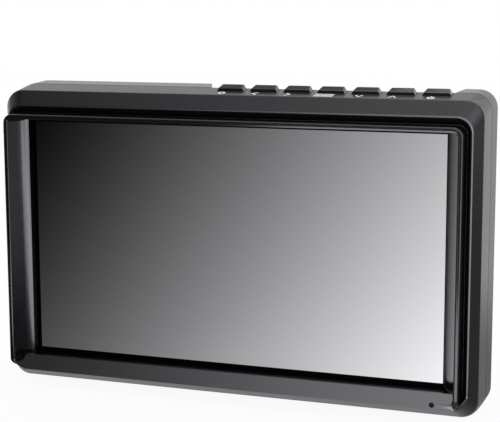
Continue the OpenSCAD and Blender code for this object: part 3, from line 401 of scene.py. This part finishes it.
def front_levels():
    """The front frame's outlines in order: seam, foot, bevel, lip of the hood channel, channel floor, ridge, thin
    groove, cove, window, glass pocket and cavity. Each row is one of rounded_outlines, and then how far its bend
    is softened. The cove's profile is the quadratic curve 2t(1 - t) * (2.5, 5.4) + t * t * (3.68, 6.06), in and
    back."""
    def on_bar(low):
        """Depth of the bar's leaning face at a height."""
        return BAR_FRONT + (low - BAR_FOOT) / BAR_HEIGHT

    lip = [(67.5, 81.52, 4.95, 4.2, 5.86, on_bar(4.95), 5.7, 2.72, 0, *BAR_ENDS, 0.22)]
    # Share of the way inwards, depth at top and sides, and share of the way up the bar
    for t, deep, up in ((0.35, 6.03, 0.1), (0.5, 6.28, 0.13), (0.74, 6.75, 0.2), (0.88, 7.2, 0.25),
                        (0.88, 0.45, 0.26)):
        low = BAR_FOOT + BAR_HEIGHT * up
        lip.append((67.88 - 1.93 * t, 82.01 - 2.73 * t, low, 4.4 - 2.15 * t, deep, on_bar(low),
                    6.0 - 5.0 * t, 2.8 - 1.3 * t, 0, *BAR_ENDS, 0.25))
    ridge = [(w, top, low, rt, deep, on_bar(low), rb, rb, 0, *BAR_ENDS, soft)
             for w, top, low, rt, rb, deep, soft in (
                 (66.1, 79.42, 6.3, 2.4, 1.5, 0, 0.1), (65.78, 79.03, 6.38, 2.1, 1.4, 0, 0.06),
                 (65.72, 78.98, 6.42, 2.05, 1.35, 0.55, 0.1), (65.35, 78.78, 6.5, 1.8, 1.2, 0.55, 0.1),
                 (65.28, 78.72, 6.55, 1.75, 1.15, 0.1, 0.06), (65.08, 78.2, 6.6, 1.3, 1.0, 0.25, 0.12))]
    cove = []
    for t in (0.06, 0.17, 0.33, 0.5, 0.67, 0.83):
        inwards = 2 * t * (1 - t) * 2.5 + t * t * 3.68
        deep = 0.25 + 2 * t * (1 - t) * 5.4 + t * t * 6.06
        low = 6.6 + 2.75 * t
        cove.append((65.08 - inwards, 78.2, low, 1.3 - 0.5 * t, deep, on_bar(low), 1, 1, 1,
                     BAR_ENDS[0] - 1.8 * t, BAR_ENDS[1] - 0.3 * t, 0.4))

    def plain(w, top, low, rt, rb, y, soft, ends=(0, 0)):
        """Row of one depth all round."""
        return w, top, low, rt, y, y, rb, rb, 0, *ends, soft

    return np.array([
        plain(70.40, 87.12, 0, 5, 5, 18.13, 0.2), plain(70.15, BAND_Z, 0, 5, 5, BAND_Y, 2.5),
        plain(70.04, 85.77, 0.75, 5, 5, 9.45, 0.3),
        (67.88, 82.01, BAR_FOOT, 4.4, 6, BAR_FRONT, 6.0, 2.8, 0, 0, 0, 0.12),
        *lip, *ridge, *cove,
        (61.4, 78.2, 9.35, 0.8, 6.31, 1.35, 0.3, 0.3, 1, 61.2, 64.9, 0.12),
        plain(61.3, 78.22, 8.2, 0.9, 0.7, 8.63, 0, ends=(61.2, 64.9)),
        plain(63.85, 80.05, 6.95, 1, 1, 8.63, 0), plain(63.85, 80.05, 6.95, 1, 1, 13.8, 0),
        plain(68.61, 84.6, 1.8, 3.4, 3.4, 13.8, 0), plain(68.61, 84.6, 1.8, 3.4, 3.4, 18.13, 0.1)])


def insert_notch():
    """Room for the tripod insert, half in the front frame and half in the rear shell."""
    return turned("notch", 0, SEAM, [(4.2, -1), (4.2, 8)], along="z")


def front_frame():
    """Skin of the front frame, with the keys' slots and the pinhole."""
    levels = front_levels()
    path = softened(levels[:, :11], levels[:, 11], True)
    piece = surface("front_frame_skin", rounded_outlines(path), ring_rows=True)
    half, front, back, corner = KEY_SLOT
    slots = [prism("slot", box_outline(x - half, front, x + half, back, corner), 83.5, 90, "z")
             for x in KEY_FIRST + KEY_PITCH * np.arange(len(KEYS))]
    pinhole = turned("pinhole", LIGHT_X, LIGHT_Z, [(0.78, 0.2), (0.62, 1.1), (0.62, 14)])
    combined(piece, slots + [pinhole, insert_notch()], "DIFFERENCE")
    smooth_shaded(piece)
    return piece


def key_marks():
    """Marks printed on the band in front of the keys: ring, left, right, three bars, down, up and a power sign.
    Each stroke is a strip along a line, given as its points' x and y."""
    turn = np.radians(np.linspace(0, 360, 25))
    power = np.radians(np.linspace(40, 320, 19))
    strokes = [(-3.7 + 0.75 * np.cos(turn), 11.9 + 0.95 * np.sin(turn)),
               ([6.6, 5.3, 6.6], [13.1, 11.9, 10.7]), ([14.9, 16.2, 14.9], [13.1, 11.9, 10.7]),
               *(([23.2, 28.6], [y, y]) for y in (10.8, 11.9, 13.0)),
               ([34.7, 35.6, 36.5], [12.7, 11.0, 12.7]), ([44.0, 44.9, 45.8], [11.1, 12.8, 11.1]),
               (55.25 + 0.8 * np.sin(power), 11.7 + 1.0 * np.cos(power)), ([55.25, 55.25], [11.9, 13.2])]
    lift = MARK_LIFT * np.array([-1, -1, 1, 1])[None, :, None]
    parts = []
    for stroke in strokes:
        points = np.stack(stroke, 1)
        ahead = np.gradient(points, axis=0)
        length = np.linalg.norm(ahead, axis=1)[:, None]
        side = np.stack([-ahead[:, 1], ahead[:, 0]], 1) / length * MARK_HALF_WIDTH
        section = np.stack([points - side, points + side, points + side, points - side], 1)
        height = BAND_Z + BAND_SLOPE * (section[..., 1:] - BAND_Y) + lift
        parts.append(surface("stroke", np.concatenate([section, height], -1)))
    return joined(parts, "key_marks")


def scoop_cutter():
    """Outline across the shell, carried to the back: a level floor, then a rise that eases upwards on the right.
    The left wall leans left with depth."""
    floor, rise, right, ramp, top = 86.2, 1.48, 58.12, 4.1, 89.5
    t = np.linspace(0, 1, 13)
    rows = []
    for y in (17.3, 30.0):
        left = -9.4 - 2.9 * (y - SEAM) / 8.16
        x = np.concatenate([[left, right - 4], right + ramp * t, [right + ramp, left]])
        z = np.concatenate([[floor, floor], floor + rise * eased(t), [top, top]])
        rows.append(np.stack([x, np.full(len(x), y), z], -1))
    return surface("scoop", np.array(rows))


def rear_shell():
    """Skin from the cavity's back wall forwards to the tongue, round it and back over the outside, with its screw
    posts, holes, vents and the scoop behind the keys."""
    # Half width, top, low edge, upper radius, depth, lower radius, and how far the bend is softened
    levels = np.array([
        (68.61, 84.6, 1.8, 3.4, 25.7, 3.4, 0), (68.61, 84.6, 1.8, 3.4, 19.63, 3.4, 0),
        (67.41, 83.4, 3.0, 2.4, 19.63, 2.4, 0), (67.41, 83.4, 3.0, 2.4, 17.03, 2.4, 0),
        (68.51, 84.5, 1.9, 3.3, 17.03, 3.3, 0), (68.51, 84.5, 1.9, 3.3, 18.33, 3.3, 0),
        (70.41, 87.15, 0, 5, 18.33, 5, 0.18), (70.41, 87.67, 0, 5, 27.7, 5, 1.3),
        (68.0, 85.26, 2.41, 3.6, 27.7, 3.6, 0), (66.0, 83.26, 4.41, 2.6, 27.7, 2.6, 0)])
    path = softened(levels[:, :6], levels[:, 6], False)
    path = np.hstack([path[:, [0, 1, 2, 3, 4, 4, 5, 5]], np.zeros((len(path), 3))])
    piece = surface("rear_shell_skin", rounded_outlines(path))
    combined(piece, [turned("post", x, z, [(2.9, 18.4), (2.9, 26.2)], 32) for x, z in SCREWS], "UNION")
    bore = [(1.05, 17), (1.05, 21.33), (1.9, 21.33), (1.9, 27.4), (2.05, 28.5)]
    tools = [scoop_cutter()] + [turned("bore", x, z, bore, 40) for x, z in SCREWS]
    for z, wide, thick in SOCKETS:
        half = wide / 2 + SOCKET_GAP
        hole = box_outline(SOCKET_FRONT - SOCKET_GAP, z - half, SOCKET_FRONT + thick + SOCKET_GAP, z + half, 0.3)
        tools.append(prism("socket_hole", hole, -72, -67, "x"))
    for x in (-37.6, 37.6):
        for z in VENT_FIRST + VENT_PITCH * np.arange(VENTS):
            tools.append(prism("vent", box_outline(x - 10, z - 0.7, x + 10, z + 0.7, 0.69, 8), 25, 28.5, "y"))
    tools += [turned("lead_hole", x, 9.2, [(0.9, 25), (0.9, 28.5)], 24) for x in (-4, 4)]
    tools += [insert_notch(), prism("tongue_gap", box_outline(-13.5, 16, 66.4, 18.3), 80, 86.0, "z")]
    combined(piece, tools, "DIFFERENCE")
    smooth_shaded(piece)
    return piece


def eased_edges(pieces, width):
    """Rounds the edges of plain CAD pieces by a given width in millimetres."""
    for piece in pieces:
        weld = piece.modifiers.new("weld", "WELD")
        weld.merge_threshold = WELD_GAP
        bevel = piece.modifiers.new("edges", "BEVEL")
        bevel.width, bevel.segments = width * MM, EDGE_STEPS
        bevel.limit_method, bevel.angle_limit = "ANGLE", EDGE_ANGLE


def nodes_of(*names):
    """The CAD pieces of these names."""
    return [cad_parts[name] for name in names]


# ---------------------------------------------------------------- light

def studio():
    """White all round for the camera and one plain level for matt surfaces. Glossy surfaces mirror a white
    backdrop behind that fades high up, a bright ceiling that is dim on the left, and a wide box in front on the
    right. The box stands from 6 to 35 degrees high, its left edge fades in from 29 to 8 degrees left of the
    middle, and to the right it fades out from 30 to 95 degrees."""
    world = bpy.data.worlds.new("studio")
    bpy.context.scene.world = world
    world.use_nodes = True
    node, calc, plug = wires(world.node_tree)
    heading = node("ShaderNodeTexCoord").outputs["Generated"]
    x, y, z = node("ShaderNodeSeparateXYZ", Vector=heading).outputs
    backdrop = calc("MULTIPLY", between(node, y, 0.0, 0.45), between(node, z, 0.5, 0.8, 1.0, 0.1))
    ceiling = calc("MULTIPLY", between(node, z, 0.68, 0.84), between(node, x, -0.6, -0.1, 0.15, 1.85))
    around = calc("ARCTAN2", x, calc("MULTIPLY", y, -1.0))
    rise = calc("ARCSINE", z)
    degree = math.pi / 180
    box = calc("LESS_THAN", calc("ABSOLUTE", around), 1.75)
    for edge in (between(node, around, -29 * degree, -8 * degree, 0.06),
                 between(node, around, 30 * degree, 95 * degree, 1.0, 0.15),
                 between(node, rise, -2 * degree, 6 * degree),
                 between(node, rise, 35 * degree, 60 * degree, 1.0, 0.0)):
        box = calc("MULTIPLY", box, edge)
    gloss = calc("ADD", calc("ADD", backdrop, ceiling), calc("MULTIPLY", box, 6.1))
    path = node("ShaderNodeLightPath").outputs["Is Glossy Ray"]
    strength = calc("ADD", calc("MULTIPLY", gloss, path), calc("SUBTRACT", 1.0, path))
    plug(world.node_tree.nodes["Background"], Strength=strength, Color=(1, 1, 1, 1))


def soft_panel(name, x, y, wide, high, radiance, turn):
    """Upright lamp on the floor that shows in glossy surfaces only, turned about the upright by `turn` degrees
    from facing the back."""
    lamp = bpy.data.lights.new(name, "AREA")
    lamp.shape, lamp.size, lamp.size_y = "RECTANGLE", wide, high
    lamp.energy = radiance * math.pi * wide * high
    held = placed(name, lamp)
    cos, sin = math.cos(math.radians(turn)), math.sin(math.radians(turn))
    held.matrix_world = stood((x, y, high / 2 + LAMP_LIFT), ((cos, sin, 0), (0, 0, 1), (sin, -cos, 0)))
    held.visible_camera = held.visible_diffuse = False


def pale_floor():
    """Pale floor: mostly its own white for the camera, so that only the contact shadow shows. Glossy surfaces see
    it dark in front, grey beside the object and nearly white behind, and the foot of the box as a bright strip in
    front on the right."""
    mesh = bpy.data.meshes.new("floor")
    corners = [(x * FLOOR_HALF, y * FLOOR_HALF, FLOOR_Z) for x, y in ((-1, -1), (1, -1), (1, 1), (-1, 1))]
    mesh.from_pydata(corners, [], [(0, 1, 2, 3)])
    piece = placed("floor", mesh)
    material, shader, node, calc, plug = new_material("pale_floor")
    plug(shader, Base_Color=(0.93, 0.93, 0.93, 1), Roughness=0.9, Specular_IOR_Level=0.0)
    path = node("ShaderNodeLightPath")
    gloss = path.outputs["Is Glossy Ray"]
    place = node("ShaderNodeSeparateXYZ", Vector=node("ShaderNodeTexCoord").outputs["Object"])
    along, away = place.outputs["X"], place.outputs["Y"]
    level = calc("ADD", between(node, away, -0.08, 0.0, 0.14, 0.4), between(node, away, 0.05, 0.2, 0.0, 0.45))
    strip = calc("MULTIPLY", between(node, away, -0.16, -0.14), between(node, away, -0.045, -0.025, 1.0, 0.0))
    strip = calc("MULTIPLY", strip, between(node, along, -0.04, -0.015, 0.0, 6.0))
    own = calc("ADD", calc("MULTIPLY", gloss, calc("ADD", level, strip)), calc("SUBTRACT", 1.0, gloss))
    white = node("ShaderNodeEmission", Color=(1, 1, 1, 1), Strength=own)
    share = calc("MAXIMUM", calc("MULTIPLY", path.outputs["Is Camera Ray"], 0.93),
                 calc("MAXIMUM", gloss, path.outputs["Is Transmission Ray"]))
    mix = node("ShaderNodeMixShader", Fac=share, i1=shader.outputs[0], i2=white.outputs[0])
    plug(material.node_tree.nodes["Material Output"], Surface=mix.outputs[0])
    mesh.materials.append(material)


# ---------------------------------------------------------------- assembly

place_camera()
bpy.context.scene.view_settings.view_transform = "Standard"

frame_plastic = moulded("frame_plastic", (0.0022, 0.0021, 0.0025), 0.18, specular=0.44, top_rough=0.15)
shell_plastic = moulded("shell_plastic", (0.003, 0.003, 0.0034), 0.28, specular=0.38)
key_plastic = moulded("key_plastic", (0.0012, 0.0012, 0.0014), 0.14, specular=0.45)
mark_paint = moulded("mark_paint", (0.9, 0.9, 0.9), 0.5, grain=5000, depth=0.002, vary=0.04)
# Painted shade: the light pipe is made near black so that the shallow pinhole in front of it reads dark.
pinhole_shade_plastic = moulded("pinhole_painted_shade", (0.0015, 0.0015, 0.0015), 0.2, specular=0.1)
dark_plastic = moulded("dark_plastic", (0.012, 0.012, 0.0125), 0.42)
latch_plastic = moulded("latch_plastic", (0.02, 0.02, 0.021), 0.4)
steel = metal("plated_steel", (0.55, 0.55, 0.57), 0.3)
brass = metal("brass", (0.62, 0.45, 0.2), 0.32)
black_steel = metal("black_steel", (0.05, 0.05, 0.052), 0.4)

keys = nodes_of(*("key_" + name for name in KEYS))
dressed(nodes_of(*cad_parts), dark_plastic)
dressed(keys, key_plastic)
dressed(nodes_of("tripod_insert", "battery_contacts"), brass)
dressed(nodes_of("video_out_socket", "video_in_socket", "service_socket", "plate_screws", "latch_spring",
                 "panel_tray", "tray_screws", "board_screws", "key_board_screws", "key_switches"), steel)
dressed(nodes_of("case_screws"), black_steel)
dressed(nodes_of("latch_button"), latch_plastic)
dressed(nodes_of("display_glass"), painted_glow_screen())
dressed(nodes_of("light_pipe"), pinhole_shade_plastic)
eased_edges(keys, 0.16)
eased_edges(nodes_of("battery_plate", "contact_block", "latch_button"), 0.25)

finished(front_frame(), frame_plastic, ["front_frame"])
finished(key_marks(), mark_paint)
finished(rear_shell(), shell_plastic, ["rear_shell"])

studio()
soft_panel("panel_right_front", 0.185, -0.12, 0.23, 0.09, 6.5, 0)
soft_panel("panel_right", 0.3, -0.06, 0.12, 0.09, 1.8, 90)
pale_floor()
